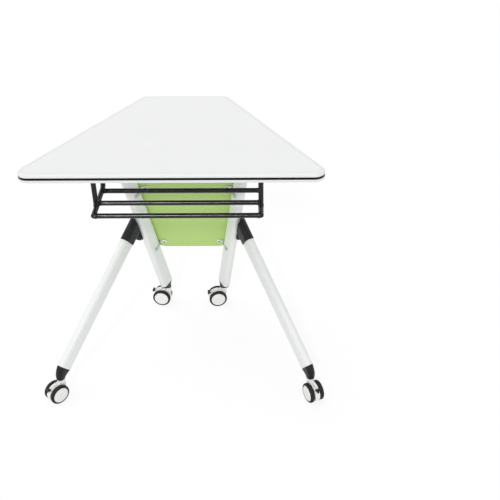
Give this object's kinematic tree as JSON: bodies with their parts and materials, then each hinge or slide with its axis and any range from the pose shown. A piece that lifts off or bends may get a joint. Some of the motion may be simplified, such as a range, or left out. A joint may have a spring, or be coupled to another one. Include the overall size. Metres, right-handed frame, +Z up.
{
  "type": "flip top training table",
  "caption": "Trapezoid training table: white top with black edge stripe that flips up on a beam, green privacy panel, wire book basket, flat-oval steel legs on braked casters.",
  "frame": {"origin": "bottom centre of the table's bounding box, on the floor", "axes": "+X along the long side, +Y from the long side towards the short side and the panel, +Z up"},
  "size_m": [0.8258, 0.5444, 0.7499],
  "materials": {
    "laminate_board": "white laminate on particle board",
    "white_edging": "satin moulded edging",
    "black_stripe": "satin inlay",
    "white_paint": "satin powder coat on steel",
    "black_paint": "satin powder coat on steel rod",
    "black_plastic": "textured nylon",
    "green_panel": "matt green laminate on board",
    "zinc_steel": "zinc plated",
    "bright_steel": "bright drawn",
    "ivory_nylon": "smooth moulded nylon",
    "black_tyre": "smooth soft tread"
  },
  "bodies": {
    "base": {"pivot_beam": "white_paint", "pivot_cap_left": "black_plastic", "pivot_cap_right": "black_plastic", "rear_leg_left": "white_paint", "rear_leg_right": "white_paint", "front_leg_left": "white_paint", "front_leg_right": "white_paint", "leg_knuckle_left": "black_plastic", "leg_knuckle_right": "black_plastic", "foot_socket_front_left": "black_plastic", "foot_socket_front_right": "black_plastic", "foot_socket_rear_left": "black_plastic", "foot_socket_rear_right": "black_plastic", "modesty_panel": "green_panel", "panel_clip_upper_left": "zinc_steel", "panel_clip_upper_right": "zinc_steel", "panel_clip_lower_left": "zinc_steel", "panel_clip_lower_right": "zinc_steel", "lock_plate": "zinc_steel"},
    "top": {"tabletop_board": "laminate_board", "edge_band": "white_edging", "edge_stripe": "black_stripe", "support_arm_left": "white_paint", "support_arm_right": "white_paint", "book_basket": "black_paint", "latch_bracket": "zinc_steel", "latch_pin": "bright_steel"},
    "latch": {"latch_lever": "black_plastic"},
    "caster_front_left": {"caster_stem_front_left": "bright_steel", "caster_hood_front_left": "ivory_nylon", "caster_axle_front_left": "bright_steel"},
    "brake_front_left": {"caster_brake_front_left": "black_plastic"},
    "wheel_front_left_a": {"wheel_tyre_front_left_a": "black_tyre", "wheel_hub_front_left_a": "ivory_nylon"},
    "wheel_front_left_b": {"wheel_tyre_front_left_b": "black_tyre", "wheel_hub_front_left_b": "ivory_nylon"},
    "caster_front_right": {"caster_stem_front_right": "bright_steel", "caster_hood_front_right": "ivory_nylon", "caster_axle_front_right": "bright_steel"},
    "brake_front_right": {"caster_brake_front_right": "black_plastic"},
    "wheel_front_right_a": {"wheel_tyre_front_right_a": "black_tyre", "wheel_hub_front_right_a": "ivory_nylon"},
    "wheel_front_right_b": {"wheel_tyre_front_right_b": "black_tyre", "wheel_hub_front_right_b": "ivory_nylon"},
    "caster_rear_left": {"caster_stem_rear_left": "bright_steel", "caster_hood_rear_left": "ivory_nylon", "caster_axle_rear_left": "bright_steel"},
    "brake_rear_left": {"caster_brake_rear_left": "black_plastic"},
    "wheel_rear_left_a": {"wheel_tyre_rear_left_a": "black_tyre", "wheel_hub_rear_left_a": "ivory_nylon"},
    "wheel_rear_left_b": {"wheel_tyre_rear_left_b": "black_tyre", "wheel_hub_rear_left_b": "ivory_nylon"},
    "caster_rear_right": {"caster_stem_rear_right": "bright_steel", "caster_hood_rear_right": "ivory_nylon", "caster_axle_rear_right": "bright_steel"},
    "brake_rear_right": {"caster_brake_rear_right": "black_plastic"},
    "wheel_rear_right_a": {"wheel_tyre_rear_right_a": "black_tyre", "wheel_hub_rear_right_a": "ivory_nylon"},
    "wheel_rear_right_b": {"wheel_tyre_rear_right_b": "black_tyre", "wheel_hub_rear_right_b": "ivory_nylon"}
  },
  "joints": [
    {"name": "top_flip", "type": "hinge", "parent": "base", "child": "top", "pos_m": [0.00433, 0.06322, 0.67285], "axis": [1, 0, 0], "range_deg": [-75, 0]},
    {"name": "latch_swing", "type": "hinge", "parent": "top", "child": "latch", "pos_m": [0.00433, 0.00522, 0.70686], "axis": [1, 0, 0], "range_deg": [0, 18]},
    {"name": "swivel_front_left", "type": "hinge", "parent": "base", "child": "caster_front_left", "pos_m": [-0.36367, -0.21778, -0.00014], "axis": [0, 0, 1], "continuous": true},
    {"name": "brake_front_left", "type": "hinge", "parent": "caster_front_left", "child": "brake_front_left", "pos_m": [-0.37728, -0.23237, 0.06004], "axis": [0.7314, -0.682, 0], "range_deg": [0, 3]},
    {"name": "wheel_front_left_a", "type": "hinge", "parent": "caster_front_left", "child": "wheel_front_left_a", "pos_m": [-0.378, -0.23314, 0.02986], "axis": [0.7314, -0.682, 0], "continuous": true},
    {"name": "wheel_front_left_b", "type": "hinge", "parent": "caster_front_left", "child": "wheel_front_left_b", "pos_m": [-0.378, -0.23314, 0.02986], "axis": [0.7314, -0.682, 0], "continuous": true},
    {"name": "swivel_front_right", "type": "hinge", "parent": "base", "child": "caster_front_right", "pos_m": [0.37233, -0.21778, -0.00014], "axis": [0, 0, 1], "continuous": true},
    {"name": "brake_front_right", "type": "hinge", "parent": "caster_front_right", "child": "brake_front_right", "pos_m": [0.38076, -0.23586, 0.06004], "axis": [0.9063, 0.4226, 0], "range_deg": [0, 3]},
    {"name": "wheel_front_right_a", "type": "hinge", "parent": "caster_front_right", "child": "wheel_front_right_a", "pos_m": [0.3812, -0.23681, 0.02986], "axis": [0.9063, 0.4226, 0], "continuous": true},
    {"name": "wheel_front_right_b", "type": "hinge", "parent": "caster_front_right", "child": "wheel_front_right_b", "pos_m": [0.3812, -0.23681, 0.02986], "axis": [0.9063, 0.4226, 0], "continuous": true},
    {"name": "swivel_rear_left", "type": "hinge", "parent": "base", "child": "caster_rear_left", "pos_m": [-0.09067, 0.22422, -0.00014], "axis": [0, 0, 1], "continuous": true},
    {"name": "brake_rear_left", "type": "hinge", "parent": "caster_rear_left", "child": "brake_rear_left", "pos_m": [-0.11047, 0.22665, 0.06004], "axis": [-0.1219, -0.9925, 0], "range_deg": [0, 3]},
    {"name": "wheel_rear_left_a", "type": "hinge", "parent": "caster_rear_left", "child": "wheel_rear_left_a", "pos_m": [-0.11152, 0.22678, 0.02986], "axis": [-0.1219, -0.9925, 0], "continuous": true},
    {"name": "wheel_rear_left_b", "type": "hinge", "parent": "caster_rear_left", "child": "wheel_rear_left_b", "pos_m": [-0.11152, 0.22678, 0.02986], "axis": [-0.1219, -0.9925, 0], "continuous": true},
    {"name": "swivel_rear_right", "type": "hinge", "parent": "base", "child": "caster_rear_right", "pos_m": [0.09933, 0.22422, -0.00014], "axis": [0, 0, 1], "continuous": true},
    {"name": "brake_rear_right", "type": "hinge", "parent": "caster_rear_right", "child": "brake_rear_right", "pos_m": [0.07968, 0.22076, 0.06004], "axis": [0.1736, -0.9848, 0], "range_deg": [0, 3]},
    {"name": "wheel_rear_right_a", "type": "hinge", "parent": "caster_rear_right", "child": "wheel_rear_right_a", "pos_m": [0.07865, 0.22057, 0.02986], "axis": [0.1736, -0.9848, 0], "continuous": true},
    {"name": "wheel_rear_right_b", "type": "hinge", "parent": "caster_rear_right", "child": "wheel_rear_right_b", "pos_m": [0.07865, 0.22057, 0.02986], "axis": [0.1736, -0.9848, 0], "continuous": true}
  ]
}
